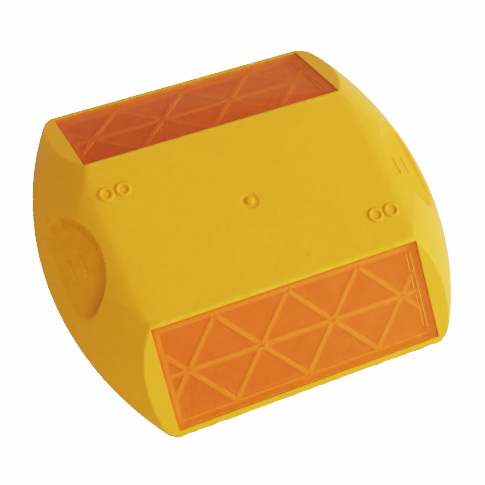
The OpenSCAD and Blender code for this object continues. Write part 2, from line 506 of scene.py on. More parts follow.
@dataclass(frozen=True)
class LensAcrylic(Finish):
    """Amber acrylic: a slightly milky moulded face over a clear body down to the prisms, with a painted
    glint on the beads.
    """

    tint: Colour = (0.96, 0.60, 0.30)
    tint_pale: Colour = (1.0, 0.68, 0.36)
    milk: Colour = (0.72, 0.192, 0.060)
    milk_pale: Colour = (0.75, 0.222, 0.062)
    glint: Colour = (0.98, 0.72, 0.20)
    sheen: Colour = (1.0, 0.72, 0.35)
    milkiness: float = 0.55
    roughness: float = 0.08

    def shader(self, s: Shade) -> Any:
        """Wires the finish up to its last shader."""
        haze = s.patches(260, 0.35, 0.7, 4, 0.6)
        cloudy = s.math("MULTIPLY", s.patches(75, 0.36, 0.66, 3, 0.6), haze)
        scuff = s.streaks((300.0, 7000.0, 2500.0), -35, 0.64, 0.74, 0.6)
        dull = s.math("MULTIPLY_ADD", haze, 0.06, self.roughness)
        dull = s.math("MULTIPLY_ADD", scuff, 0.12, dull)
        skin = s.bump(scuff, -0.010, 1.0, s.bump(s.cloud(900, 3, 0.55), 0.010))
        # The beads' tone paints a glint: the glint colour on a milky face.
        glint_share = s.layer("wear")
        clear = s.principled(
            Base_Color=s.blend(self.tint, self.tint_pale, haze, 0.15),
            Roughness=dull,
            Normal=skin,
            IOR=1.15,
            Transmission_Weight=1.0,
            Specular_Tint=self.sheen,
        )
        milky = s.principled(
            Base_Color=s.blend(s.blend(self.milk, self.milk_pale, cloudy), self.glint, glint_share),
            Roughness=s.math("ADD", dull, 0.3),
            Normal=skin,
            IOR=1.3,
            Specular_IOR_Level=0.06,
            Specular_Tint=self.sheen,
        )
        inside = s.node("ShaderNodeNewGeometry").outputs["Backfacing"]
        share = s.math("MAXIMUM", s.remap(inside, 0.0, 1.0, self.milkiness, 0.0), glint_share)
        once = tuple(math.sqrt(c) for c in self.tint)
        through = s.node("ShaderNodeBsdfTransparent", {"Color": once}).outputs[0]
        return s.mixed(s.ray("Shadow"), s.mixed(share, clear, milky), through)


@dataclass(frozen=True)
class PrismFacets(Finish):
    """Polished red-amber facets of the cube-corner prisms."""

    colour: Colour = (0.74, 0.34, 0.34)
    deep: Colour = (0.66, 0.28, 0.30)
    pale: Colour = (0.84, 0.42, 0.36)

    def shader(self, s: Shade) -> Any:
        """Wires the finish up to its last shader."""
        fine = s.patches(900, 0.3, 0.7, 3, 0.6)
        colour = s.blend(self.colour, self.deep, s.patches(85, 0.35, 0.66, 3, 0.6))
        return s.principled(
            Base_Color=s.blend(colour, self.pale, fine, 0.25),
            Roughness=s.remap(fine, 0, 1, 0.28, 0.40),
            Normal=s.bump(s.cloud(3000, 2), 0.006),
            Metallic=0.15,
        )


@dataclass(frozen=True)
class LensBackPlastic(Finish):
    """Amber plastic of the back plate and its weld ribs, which shows through the lens."""

    colour: Colour = (0.84, 0.50, 0.40)
    pale: Colour = (0.90, 0.58, 0.42)
    warm: Colour = (0.84, 0.46, 0.33)

    def shader(self, s: Shade) -> Any:
        """Wires the finish up to its last shader."""
        fine = s.patches(700, 0.3, 0.7, 4, 0.6)
        colour = s.blend(self.colour, self.pale, fine, 0.35)
        return s.principled(
            Base_Color=s.blend(colour, self.warm, s.patches(60, 0.35, 0.65, 2), 0.3),
            Roughness=s.remap(fine, 0, 1, 0.29, 0.44),
            Normal=s.bump(s.cloud(1800, 3), 0.010),
        )


@dataclass(frozen=True)
class FilledResin(Finish):
    """Dark casting resin full of pale mineral filler."""

    colour: Colour = (0.055, 0.052, 0.050)
    grey: Colour = (0.11, 0.10, 0.09)
    filler: Colour = (0.34, 0.32, 0.29)

    def shader(self, s: Shade) -> Any:
        """Wires the finish up to its last shader."""
        cloudy = s.patches(130, 0.3, 0.7, 5, 0.6)
        dots = s.remap(s.cells(1100), 0.34, 0.18)
        return s.principled(
            Base_Color=s.blend(s.blend(self.colour, self.grey, cloudy, 0.5), self.filler, dots, 0.8),
            Roughness=s.remap(cloudy, 0, 1, 0.42, 0.72),
            Normal=s.bump(dots, 0.06, 0.8),
        )


@dataclass(frozen=True)
class FibreMat(Finish):
    """Chopped glass-fibre mat, wetted out with resin."""

    strand: Colour = (0.74, 0.76, 0.72)
    resin: Colour = (0.26, 0.27, 0.24)

    def shader(self, s: Shade) -> Any:
        """Wires the finish up to its last shader."""
        runs = [s.streaks((160.0, 2600.0, 800.0), turn, 0.5, 0.62, 0.5) for turn in (12, 71, -48)]
        strands = s.math("MAXIMUM", s.math("MAXIMUM", runs[0], runs[1]), runs[2])
        return s.principled(
            Base_Color=s.blend(self.resin, self.strand, strands),
            Roughness=s.remap(strands, 0, 1, 0.35, 0.6),
            Normal=s.bump(strands, 0.08, 0.8),
        )


@dataclass(frozen=True)
class SharpSand(Finish):
    """Washed sand grains pressed into the resin at the base."""

    pale: Colour = (0.46, 0.42, 0.36)
    dark: Colour = (0.17, 0.155, 0.14)
    bright: Colour = (0.62, 0.58, 0.52)

    def shader(self, s: Shade) -> Any:
        """Wires the finish up to its last shader."""
        shade = s.node("ShaderNodeSeparateColor", {"Color": s.cells(420, "Color")}).outputs[0]
        fine = s.patches(2600, 0.3, 0.7, 3, 0.6)
        return s.principled(
            Base_Color=s.blend(s.blend(self.dark, self.pale, shade), self.bright, fine, 0.3),
            Roughness=s.remap(fine, 0, 1, 0.68, 0.92),
            Normal=s.bump(s.cloud(5200, 3), 0.03),
        )


@dataclass(frozen=True)
class StudioPaper(Finish):
    """White paper under the object, lit a little from within so that it stays pale."""

    paper: Colour = (0.86, 0.86, 0.85)
    glow: float = 9.0

    def shader(self, s: Shade) -> Any:
        """Wires the finish up to its last shader."""
        paper = s.node("ShaderNodeBsdfDiffuse", {"Color": self.paper}).outputs[0]
        strength = s.math("MULTIPLY", s.ray("Camera"), self.glow)
        glow = s.node("ShaderNodeEmission", {"Color": (1.0, 1.0, 1.0), "Strength": strength})
        return s.node("ShaderNodeAddShader", {0: paper, 1: glow.outputs[0]}).outputs[0]


def dressed(
    obj: bpy.types.Object, material: bpy.types.Material, slot: str, *nodes: str
) -> bpy.types.Object:
    """Gives a piece its finish and its place in the frame.

    Args:
        obj: The piece.
        material: Its finish.
        slot: The record's material slot; not used.
        nodes: CAD nodes that the piece stands for.

    Returns:
        The same object.
    """
    obj.data.materials.clear()
    obj.data.materials.append(material)
    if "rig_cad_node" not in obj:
        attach(obj, "root")
    if nodes:
        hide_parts(*nodes)
    LOG.info("%s: %d faces", obj.name, len(obj.data.polygons))
    return obj


# ---- The casing ----


@dataclass(frozen=True)
class Form:
    """The casing's outer form, or one set in from it, as heights over the plan."""

    half_x: float = 50.8
    half_y: float = 44.45
    top: float = 14.5
    deck_y: float = 21.7
    lip: float = 0.8
    plan_r: float = 73.75
    flank_in: float = 23.97
    flank_z: float = -10.13
    flank_r: float = 27.0
    crown_x: float = 29.19
    crown_z: float = -11.91
    crown_r: float = 27.0
    grip_x: float = 48.1
    grip_z: float = 5.5
    grip_tilt: float = 25.0
    grip_r: float = 9.8
    grip_cove: float = 6.4
    grip_ledge: float = 6.0
    crest_round: float = 0.55
    end_round: float = 0.26
    grip_round: float = 0.85
    grip_sag: float = 4.2
    skin: float = 0.0
    end_skin: float = 0.0
    grip_skin: float = 0.0

    @property
    def plan_x(self) -> float:
        """Distance of a curved edge's centre beyond the middle of the casing."""
        return self.plan_r - self.half_x

    @property
    def slope(self) -> float:
        """Angle of the sloping ends, in radians."""
        return math.atan2(self.top - self.lip, self.half_y - self.deck_y)

    def edge_x(self, y: np.ndarray, inset: float = 0.0) -> np.ndarray:
        """X of the curved edge at y, moved in by inset."""
        return np.sqrt((self.plan_r - inset) ** 2 - y * y) - self.plan_x

    def flank(self, x: np.ndarray, y: np.ndarray) -> np.ndarray:
        """Height of the convex flank."""
        inset = self.plan_r - np.hypot(np.abs(x) + self.plan_x, y)
        across = np.minimum(inset, self.flank_in) - self.flank_in
        rise = np.maximum((self.flank_r - self.skin) ** 2 - across**2, 0.0)
        return self.flank_z + np.sqrt(rise)

    def deck(self, x: np.ndarray, y: np.ndarray) -> np.ndarray:
        """Height of the deck with its slow fall towards the flanks."""
        across = np.maximum(np.abs(x) - self.crown_x, 0.0)
        crown = self.crown_z + np.sqrt(np.maximum((self.crown_r - self.skin) ** 2 - across**2, 0))
        return soft_min(np.full_like(x, self.top - self.skin), crown, 0.30)

    def end(self, x: np.ndarray, y: np.ndarray) -> np.ndarray:
        """Height of the sloping end that y lies on."""
        fall = (np.abs(y) - self.deck_y) * math.tan(self.slope)
        return self.top - fall - self.end_skin / math.cos(self.slope)

    def grip(self, x: np.ndarray, y: np.ndarray) -> np.ndarray:
        """Height of a finger grip: its tilted floor, the cove round it and its outer ledge."""
        c, s = math.cos(math.radians(self.grip_tilt)), math.sin(math.radians(self.grip_tilt))
        out = np.abs(x) - self.grip_x
        cove = self.grip_cove + self.grip_skin

        def above(z: np.ndarray) -> np.ndarray:
            """How far a height lies above the grip's surface, in the grip's own frame."""
            reach = np.hypot(out * c - z * s, y) - self.grip_r
            rise = cove - np.sqrt(np.maximum(cove**2 - np.clip(reach, 0, cove) ** 2, 0))
            rise = np.where(reach >= cove, 99.0, rise) - self.grip_skin
            return out * s + z * c - rise

        low = -out * s / c - self.grip_skin / c
        high = low + 1.9 * cove
        beyond = above(high) < 0
        for _ in range(36):
            mid = (low + high) / 2
            over = above(mid) >= 0
            high, low = np.where(over, mid, high), np.where(over, low, mid)
        ledge = self.grip_ledge - self.grip_skin
        return np.where(beyond, 99.0, np.maximum(high + self.grip_z, ledge))

    def joined(self, a: Surface, b: Surface, width: float, most: float = 1.6) -> Surface:
        """Two surfaces' lower side, with the edge between them rounded.

        Args:
            a: Height of the first surface.
            b: Height of the second surface.
            width: Half the width of the rounding, measured in plan.
            most: The rounding's largest height.

        Returns:
            Height of the joined surface.
        """

        def height(x: np.ndarray, y: np.ndarray) -> np.ndarray:
            """Height of the joined surface over a point of the plan."""
            band = np.clip(width * np.hypot(*climb(a, b, x, y)), 0.01, most)
            return soft_min(a(x, y), b(x, y), band)

        return height

    @property
    def crest(self) -> Surface:
        """The deck and the flanks."""
        return self.joined(self.deck, self.flank, self.crest_round)

    @property
    def hull(self) -> Surface:
        """The deck, the flanks and the sloping ends."""
        return self.joined(self.crest, self.end, self.end_round)

    @property
    def whole(self) -> Surface:
        """The whole form, with the grips."""
        return self.joined(self.hull, self.grip, self.grip_round, self.grip_sag)


@dataclass
class Seat:
    """Recess of a lens in the casing, measured down the slope from the deck's edge."""

    half_w: float = 34.35
    top: float = 0.75
    foot: float = 25.31
    lens_low: float = 1.75
    back_in: float = 0.75
    back_low: float = 2.95
    ledge: float = 0.6

    @property
    def section(self) -> list[tuple[float, float]]:
        """Distance outside the seat's wall and depth, from the face inwards."""
        lip = [(0.14, 0.0), (0.06, 0.015), (0.015, 0.06), (0.0, 0.14), (0.0, self.lens_low)]
        return lip + [(-self.back_in, self.lens_low), (-self.back_in, self.back_low)]


@dataclass
class Casing:
    """The moulded casing: deck, flanks, sloping ends, grips, marks and the hollow inside."""

    form: Form = field(default_factory=Form)
    seat: Seat = field(default_factory=Seat)
    edge_in: float = 0.14
    corner_r: float = 1.3
    wall: float = 3.0
    seat_wall: float = 1.6
    grip_wall: float = 2.4
    dish_r: float = 2.3
    dish_depth: float = 0.26
    dish_y: float = 0.5
    mark_x: float = 29.9
    mark_y: float = 13.0
    mark_gap: float = 4.3
    ring_r: float = 1.9
    line_w: float = 0.8
    line_h: float = 0.35
    bar_w: float = 0.8
    bar_h: float = 0.2
    bar_length: float = 5.4
    bar_gap: float = 3.0
    flash: float = 0.22
    ripple: float = 0.018
    snap: float = 0.13

    def columns(self) -> np.ndarray:
        """Columns of the upper grid from -X to +X.

        Returns:
            X at the deck, the share of the way from there to the curved edge, and the seat's depth.
        """
        outer = steps((0.0, 0.62, 0.0175), (0.62, 0.94, 0.0135), (0.94, 1.0, 0.01))[1:]
        section = self.seat.section
        inner = steps((0.0, 3.2, 0.32), (3.2, self.seat.half_w - self.seat.back_in, 1.45))[:-1]
        half = [(x, 0.0, self.seat.back_low) for x in inner]
        half += [(self.seat.half_w + off, 0.0, deep) for off, deep in reversed(section)]
        half += [(half[-1][0], share, 0.0) for share in outer]
        return np.array([(-x, share, deep) for x, share, deep in reversed(half[1:])] + half).T

    def rows(self) -> np.ndarray:
        """Rows of the upper grid from -Y to +Y.

        Returns:
            Y on the face, and the seat's depth.
        """
        seat, section = self.seat, self.seat.section
        run, start = math.cos(self.form.slope), self.form.deck_y
        half = [(y, 0.0) for y in steps((0, 15.2, 0.25), (15.2, 20.8, 0.45), (20.8, start, 0.1))]
        down = [(s, 0.0) for s in steps((0.1, 0.5, 0.1))]
        down += [(seat.top - off, deep) for off, deep in section]
        inner = steps((seat.top + seat.back_in, seat.foot - seat.back_in, 0.36))
        down += [(s, seat.back_low) for s in inner[1:-1]]
        down += [(seat.foot + off, deep) for off, deep in reversed(section)]
        last = (self.form.half_y - self.edge_in - start) / run
        down += [(s, 0.0) for s in steps((down[-1][0], last, 0.2))[1:]]
        half += [(start + s * run, deep) for s, deep in down]
        return np.array([(-y, deep) for y, deep in reversed(half[1:])] + half).T

    def rounded_plan(self, points: np.ndarray) -> np.ndarray:
        """Rounds the four corners of the plan.

        Args:
            points: Vertices, one row each.

        Returns:
            The same vertices, drawn in at the corners.
        """
        out, r, form = points.copy(), self.corner_r, self.form
        tip = float(form.edge_x(np.array(form.half_y)))
        shift = form.edge_x(np.minimum(np.abs(points[:, 1]), form.half_y)) - tip
        across = (np.abs(points[:, 0]) - shift - (tip - r)) / r
        along = (np.abs(points[:, 1]) - (form.half_y - r)) / r
        near = (across > 0) & (along > 0)
        a, b = np.clip(across, 0, 1.2), np.clip(along, 0, 1.2)
        new_a, new_b = a * np.sqrt(1 - b * b / 2), b * np.sqrt(1 - a * a / 2)
        out[near, 0] -= (np.sign(points[:, 0]) * (a - new_a) * r)[near]
        out[near, 1] -= (np.sign(points[:, 1]) * (b - new_b) * r)[near]
        return out

    def snapped(self, x: np.ndarray, y: np.ndarray, free: np.ndarray) -> tuple[Any, Any]:
        """Moves grid points that lie close to the edge of a sloping end onto it.

        Args:
            x: X by row and column.
            y: Y by row and column.
            free: Where points may move.

        Returns:
            The new X and Y.
        """
        gap = self.form.end(x, y) - self.form.crest(x, y)
        gx, gy = climb(self.form.crest, self.form.end, x, y)
        steep = np.maximum(np.hypot(gx, gy), 1e-3)
        near = (np.abs(gap) / steep < self.snap) & free
        return np.where(near, x - gap * gx / steep**2, x), np.where(near, y - gap * gy / steep**2, y)

    def face(self) -> tuple[np.ndarray, np.ndarray]:
        """Vertices of the upper face with the lens seats.

        Returns:
            Vertices and their tones, worn edges with painted highlight and painted shade in hollows, by
            row and column.
        """
        form = self.form
        col_x, share, col_deep = self.columns()
        row_y, row_deep = self.rows()
        y = np.tile(row_y[:, None], (1, len(col_x)))
        edge = form.edge_x(row_y, self.edge_in)[:, None]
        x = col_x + np.sign(col_x) * (edge - np.abs(col_x)) * share
        deep = np.minimum(row_deep[:, None], col_deep[None, :])
        free = (share > 0)[None, :] & (share < 1)[None, :] & (np.abs(y) < 43.6)
        x, y = self.snapped(x, y, free & (np.abs(x) > 35.0))
        flat = deep == 0
        z = form.whole(x, y) + self.ripple * waves(x, y, 9.0, 3.1) * flat
        dish = np.hypot(x, y - self.dish_y)
        z -= self.dish_depth * (1 - smooth_step(self.dish_r - 0.55, self.dish_r, dish))
        z = np.where(deep > 1.0, form.end(x, y), z)
        y = y - np.sign(y) * deep * math.sin(form.slope)
        z = z - deep * math.cos(form.slope)
        z = np.where(deep > 0.5, np.maximum(z, self.seat.ledge), z)
        sunk = form.hull(x, y) - z
        edge_gap = np.abs(form.end(x, y) - form.crest(x, y))
        # Pale band along the edges of the sloping ends: partly worn, partly a painted highlight.
        wear = np.where(flat, np.exp(-((edge_gap / 0.3) ** 2)), 0.0)
        reach = np.hypot(np.abs(x) - form.grip_x, y) - form.grip_r
        # Painted shade on the inner walls of the grips.
        wall = smooth_step(0.6, 2.8, reach) * (z > form.grip_ledge + 0.2) * smooth_step(0.0, 1.2, sunk)
        # Painted shade in sunk corners, on the grip walls and in the lens seats.
        grime = 0.25 * smooth_step(0.2, 2.4, sunk) * flat + 0.9 * wall * flat + (deep > 0.1) * 0.8
        # Painted shade in a ring inside the dish.
        ring = 0.7 * np.exp(-(((dish - self.dish_r + 0.4) / 0.25) ** 2))
        tone = np.stack([wear, np.maximum(np.clip(grime, 0, 1), ring)], -1)
        return np.stack([x, y, z], -1), tone

    def skirt(self, bench: MeshBench, face: np.ndarray) -> list[list[int]]:
        """Adds the upright foot all round.

        Args:
            bench: Where the mesh is collected.
            face: Vertices of the upper face, by row and column.

        Returns:
            Indices along the bottom edge: front, right, rear and left side.
        """
        form = self.form
        levels = [(0.14, 0.0, 0.0), (0.045, 0.04, 0.0), (0.0, 0.14, 0.0), (0.0, 0.0, 0.5)]
        levels += [(0.0, 0.0, 0.86), (0.03, 0.0, 0.97), (0.10, 0.0, 1.0)]
        out: list[list[int]] = []
        tip_x, tip_y = np.abs(face[0, 0, :2])
        for number, side in enumerate(rims(face)):
            rings = []
            for inset, drop, fall in levels:
                ring = side.copy()
                ring[:, 1] = side[:, 1] * ((form.half_y - inset) / tip_y)
                if number % 2:
                    ring[:, 0] = np.sign(side[:, 0]) * form.edge_x(ring[:, 1], inset)
                else:
                    last = float(form.edge_x(np.array(form.half_y - inset), inset))
                    ring[:, 0] = side[:, 0] * last / tip_x
                ring[:, 2] = (side[:, 2] - drop) * (1 - fall)
                if number == 0 and 0.3 < fall < 1:
                    ragged = waves(ring[:, 0], ring[:, 2], 2.3, 7.7)
                    ragged += 0.6 * waves(ring[:, 0], ring[:, 2], 0.8, 1.3)
                    ring[:, 1] -= self.flash * np.clip(ragged + 0.25, 0, 1)
                rings.append(self.rounded_plan(ring))
            strip = np.stack(rings)
            tone = np.zeros((*strip.shape[:2], 2))
            # Painted shade along the bottom of the foot, next to the floor.
            tone[-3:, :, 1] = 0.8
            # Paler on the rounded top edge of the foot: partly worn, partly a painted highlight.
            tone[1:3, :, 0] = 0.5
            start = bench.sheet(strip, tone, flip=True) + (len(levels) - 1) * len(side)
            out.append(list(range(start, start + len(side))))
        return out

    def hollow(self, bench: MeshBench, bottom: list[list[int]]) -> None:
        """Adds the space inside and the ring of the base round it.

        Args:
            bench: Where the mesh is collected.
            bottom: Indices along the outer bottom edge, side by side.
        """
        room = Form(
            skin=self.wall, end_skin=self.seat.back_low + self.seat_wall, grip_skin=self.grip_wall
        )
        last = room.deck_y + (room.top - room.end_skin / math.cos(room.slope)) / math.tan(room.slope)
        y = np.linspace(-last, last, 73)[:, None] * np.ones((1, 65))
        x = np.linspace(-1, 1, 65)[None, :] * room.edge_x(y, self.wall)
        parts = (room.deck(x, y), room.flank(x, y), room.end(x, y), room.grip(x, y))
        roof = np.stack([x, y, np.maximum(np.minimum.reduce(parts), 0.0)], -1)
        bench.sheet(roof, flip=True)
        for outer, side in zip(bottom, rims(roof)):
            start = bench.sheet(np.stack([side, side * (1, 1, 0)])) + len(side)
            bench.stitch(outer[::-1], list(range(start, start + len(side)))[::-1])

    def bump_section(self, width: float, high: float) -> list[tuple[float, float]]:
        """Offset and height across a raised line, from its outer foot over the top."""
        near = [(0.22, -0.12), (0.16, -0.01), (0.05, 0.25 * high), (-0.03, 0.66 * high)]
        near += [(-0.13, 0.93 * high), (-0.27, high)]
        return near + [(-width - off, h) for off, h in reversed(near)]

    def marks(self, bench: MeshBench) -> None:
        """Adds the ring pairs on the deck, the bars in the grips and the gate's pip.

        Args:
            bench: Where the mesh is collected.
        """
        form = self.form
        section = [(self.ring_r + off, h) for off, h in self.bump_section(self.line_w, self.line_h)]
        half_section = self.bump_section(self.bar_w, self.bar_h)[:6]
        for side in (-1, 1):
            floor = Matrix.Translation((side * form.grip_x, 0, form.grip_z))
            floor @= Matrix.Rotation(math.radians(side * form.grip_tilt), 4, "Y")
            for half in (-0.5, 0.5):
                x = -side * (self.mark_x + half * self.mark_gap)
                bench.lathe(section, Matrix.Translation((x, side * self.mark_y, form.top)))
                loops = []
                for off, h in half_section:
                    radius, reach = self.bar_w / 2 + off, self.bar_length / 2 + off
                    ring = rounded_box(radius, -reach, reach, radius * 0.98, 5)
                    ring[:, 0] -= side * (form.grip_r / 2 + half * self.bar_gap)
                    loops.append(moved(np.column_stack([ring, np.full(len(ring), h)]), floor))
                bench.stack(loops)
        pip = [(0.0, -0.4), (1.18, -0.4), (1.12, -0.2), (1.0, 0.05), (0.86, 0.19), (0.6, 0.27)]
        pip += [(0.3, 0.29), (0.12, 0.28), (0.0, 0.27)]
        bench.lathe(pip, Matrix.Translation((0, self.dish_y, form.top)), 40)

    def build(self) -> bpy.types.Object:
        """Builds and dresses the casing."""
        bench = MeshBench()
        face, tone = self.face()
        bench.sheet(self.rounded_plan(face.reshape(-1, 3)).reshape(face.shape), tone)
        self.hollow(bench, self.skirt(bench, face))
        self.marks(bench)
        return dressed(bench.build("casing", 50.0), CasingPlastic().material(), "casing", "body_shell")


# ---- The reflectors ----


@dataclass
class Reflector:
    """One sloping end's lens, its prism cells and its back plate."""

    end: End
    form: Form = field(default_factory=Form)
    half_w: float = 34.2
    top: float = 0.9
    foot: float = 25.16
    fill: float = 0.14
    sunk: float = 0.17
    lens_low: float = 1.70
    corner_r: float = 0.5
    rim_w: float = 1.7
    pitch: float = 18.7
    rib_w: float = 1.3
    rib_crest: float = 1.0
    rib_top: float = 1.76
    back_in: float = 0.6
    back_low: float = 2.95
    cell_low: float = 2.35
    plate_t: float = 0.14
    ledge: float = 0.62
    plate_r: float = 0.4
    window_r: float = 0.3
    prism_side: float = 0.95
    prism_h: float = 0.36
    # For each of the beads, which carry a painted glint: its place across, and its upper and lower end
    # down the slope.
    beads: tuple[Triple, ...] = (
        (31.0, 3.0, 7.6),
        (31.0, 8.3, 12.9),
        (31.1, 13.4, 21.2),
        (32.1, 2.8, 9.7),
        (32.1, 10.1, 22.0),
    )

    @property
    def middle(self) -> float:
        """Where the rib along the middle lies, down the slope."""
        return (self.top + self.foot) / 2

    @property
    def row_h(self) -> float:
        """Height of a row of cells."""
        return (self.foot - self.top) / 2 - self.rim_w

    def placed(self, flat: np.ndarray, deep: np.ndarray | float) -> np.ndarray:
        """Points of the slope's flat frame in the marker's frame.

        Args:
            flat: Distance across and distance up the slope from the deck's edge, negative downwards.
            deep: Depth below the face.

        Returns:
            Points, one row each.  The rear end mirrors the front end across the lane.
        """
        c, s = math.cos(self.form.slope), math.sin(self.form.slope)
        y = self.form.deck_y - flat[:, 1] * c - deep * s
        return np.column_stack([flat[:, 0], self.end.value * y, self.form.top + flat[:, 1] * s - deep * c])

    def loop(self, flat: np.ndarray, deep: float) -> np.ndarray:
        """A placed outline that runs counter-clockwise seen from outside, on either end."""
        return self.placed(flat, deep)[:: -self.end.value]

    def cut(self, bench: MeshBench, part: str, smooth_below: float) -> bpy.types.Object:
        """Welds what is on the bench and cuts it level along the ledge.

        Args:
            bench: Closed solids.
            part: Name of the piece after the end's own name.
            smooth_below: Edges that turn by less than this many degrees are shaded smooth.

        Returns:
            The piece.
        """
        return levelled(bench.build(f"{self.end.word}_{part}", smooth_below), self.ledge)

    def lens(self) -> bpy.types.Object:
        """Builds and dresses the clear amber plate with its beads, which carry a painted glint."""
        levels = [(0.08, self.lens_low), (0.0, self.lens_low - 0.08), (0.0, self.sunk + 0.12)]
        levels += [(0.02, self.sunk + 0.05), (0.05, self.sunk + 0.015), (0.11, self.sunk)]
        loops = []
        for inset, deep in levels:
            edge = inset - self.fill
            ring = rounded_box(
                self.half_w - edge, -self.foot + edge, -self.top - edge, self.corner_r
            )
            loops.append(self.loop(ring, deep))
        bench = MeshBench()
        bench.stack(loops)
        for x, low, high in self.beads:
            loops = []
            for inset, rise in ((0.0, -0.05), (0.03, 0.08), (0.08, 0.12)):
                ring = rounded_box(0.13 - inset, -high + inset, -low - inset, 0.12 - inset, 3)
                loops.append(self.loop(ring + (x, 0.0), self.sunk - rise))
            # The tone paints a glint on the beads, stronger on the front end than the rear.
            bench.stack(loops, (0.5 if self.end is End.FRONT else 0.1, 0.0))
        lens = self.cut(bench, "lens_plate", 40.0)
        return dressed(lens, LensAcrylic().material(), "lens", f"{self.end.word}_lens")

    def cells(self) -> list[np.ndarray]:
        """Outlines of the triangular prism cells between the ribs.

        Returns:
            Convex outlines in the slope's flat frame, counter-clockwise.
        """
        wide, half = self.half_w - self.rim_w, self.pitch / 2
        found = []
        for row in (-1, 1):
            for k in range(-5, 5):
                base_y, tip_y = (0.0, self.row_h) if k % 2 else (self.row_h, 0.0)
                corners = [(k * half, base_y), ((k + 2) * half, base_y), ((k + 1) * half, tip_y)]
                outline = [np.array((x, row * y)) for x, y in corners]
                centre = sum(outline) / 3
                for here, there in zip(outline, outline[1:] + outline[:1]):
                    normal = np.array((there - here)[::-1]) * (1, -1)
                    normal /= np.linalg.norm(normal)
                    if normal @ (centre - here) > 0:
                        normal = -normal
                    on_rim = abs(here[1]) > 1 and abs(there[1]) > 1
                    inset = 0.0 if on_rim else self.rib_w / 2
                    outline = clipped(outline, normal, float(normal @ here) - inset)
                for sign in (-1, 1):
                    outline = clipped(outline, np.array((sign, 0.0)), wide)
                if len(outline) >= 3:
                    found.append(self.turned(np.array(outline) + (0, -self.middle)))
        return found

    @staticmethod
    def turned(outline: np.ndarray) -> np.ndarray:
        """The outline, running counter-clockwise."""
        nxt = np.roll(outline, -1, axis=0)
        area = float(np.sum(outline[:, 0] * nxt[:, 1] - nxt[:, 0] * outline[:, 1]))
        return outline if area > 0 else outline[::-1]

    def back(self) -> bpy.types.Object:
        """Builds and dresses the back plate with its weld rim and tapered weld ribs."""
        bench = MeshBench()
        half, r = self.half_w - self.back_in, self.plate_r
        top, foot = self.top + self.back_in, self.foot - self.back_in
        deeps = ((0.1, self.back_low), (0.0, self.back_low - 0.1), (0.0, self.cell_low))
        bench.stack([self.loop(rounded_box(half - e, e - foot, -top - e, r), d) for e, d in deeps])
        wide, high = self.half_w - self.rim_w, self.row_h
        levels = ((0.0, self.cell_low), (0.0, self.rib_top + 0.08), (0.1, self.rib_top))
        rings = [self.loop(rounded_box(half - e, e - foot, -top - e, r), d) for e, d in levels]
        for off, deep in ((0.12, self.rib_top), (0.0, self.rib_top + 0.1), (0.0, self.cell_low)):
            low, over = -self.middle - high - off, -self.middle + high + off
            rings.append(self.loop(rounded_box(wide + off, low, over, self.window_r), deep))
        band = np.stack([*rings, rings[0]])
        bench.sheet(np.concatenate([band, band[:, :1]], axis=1))
        crest = self.rib_crest / 2
        levels = ((self.rib_w / 2, self.cell_low), (crest + 0.06, self.rib_top + 0.06))
        for start, stop in self.rib_lines(wide, high):
            along = (stop - start) / np.linalg.norm(stop - start)
            across = np.array((-along[1], along[0]))
            loops = []
            for width, deep in (*levels, (crest - 0.04, self.rib_top)):
                corners = [start - across * width, stop - across * width]
                corners += [stop + across * width, start + across * width]
                loops.append(self.loop(np.array(corners) + (0, -self.middle), deep))
            bench.stack(loops)
        back = self.cut(bench, "back_plate", 30.0)
        return dressed(back, LensBackPlastic().material(), "lens_back", f"{self.end.word}_lens_back")

    def rib_lines(self, wide: float, high: float) -> list[tuple[np.ndarray, np.ndarray]]:
        """Centre lines of the weld ribs inside the window.

        Args:
            wide: Half the window's width.
            high: Half the window's height.

        Returns:
            Both ends of each rib, measured from the window's middle.
        """
        lines = [(np.array((-wide - 0.3, 0.0)), np.array((wide + 0.3, 0.0)))]
        for k in (-1.5, -0.5, 0.5, 1.5):
            for lean in (-1, 1):
                ends = []
                for way in (-1, 1):
                    reach = min(1.02, (wide + 0.3 - way * lean * k * self.pitch) / (self.pitch / 2))
                    x = k * self.pitch + way * lean * reach * self.pitch / 2
                    ends.append(np.array((x, way * reach * high)))
                lines.append((ends[0], ends[1]))
        return lines

    def prism_points(self, outline: np.ndarray) -> list[Triple]:
        """Centres of the prisms that fit in a cell.

        Args:
            outline: The cell, counter-clockwise.

        Returns:
            Place across, place up the slope and turn of each prism.
        """
        side = self.prism_side
        rise = side * math.sqrt(3) / 2
        along = np.roll(outline, -1, axis=0) - outline
        normals = np.column_stack([along[:, 1], -along[:, 0]])
        normals /= np.linalg.norm(normals, axis=1)[:, None]
        limits = np.sum(normals * outline, axis=1)
        low, high = outline.min(0), outline.max(0)
        out = []
        for j in range(int(low[1] // rise) - 1, int(high[1] // rise) + 2):
            for i in range(int(low[0] // (side / 2)) - 2, int(high[0] // (side / 2)) + 3):
                up = (i + j) % 2 == 0
                spot = np.array((i * side / 2, (j + (1 if up else 2) / 3) * rise))
                if np.all(normals @ spot <= limits - 0.30 * side):
                    out.append((*spot, 0.0 if up else math.pi))
        return out

